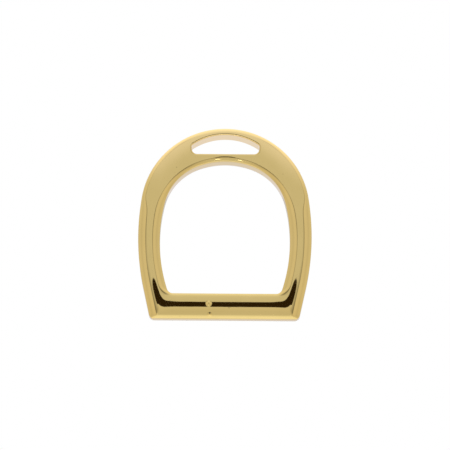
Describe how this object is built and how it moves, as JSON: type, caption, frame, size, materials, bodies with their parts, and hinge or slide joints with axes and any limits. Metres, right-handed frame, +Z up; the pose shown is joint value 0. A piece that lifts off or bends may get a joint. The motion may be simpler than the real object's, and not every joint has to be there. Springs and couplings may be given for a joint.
{
  "type": "stirrup iron",
  "caption": "Small arched stirrup iron with a strap eye in its crown, bevelled branches and a bare tread bar, cast in one piece with a polished gold finish",
  "frame": {"origin": "centre of the underside of the tread bar, on the ground", "axes": "+Z up through the strap eye; X across the iron, the left branch on -X; the front face looks along -Y"},
  "size_m": [0.0675, 0.0082, 0.0757],
  "materials": {
    "polished_gold": "polished"
  },
  "bodies": {
    "root": {"eye_head": "polished_gold", "left_branch": "polished_gold", "right_branch": "polished_gold", "tread_bar": "polished_gold"}
  },
  "joints": []
}
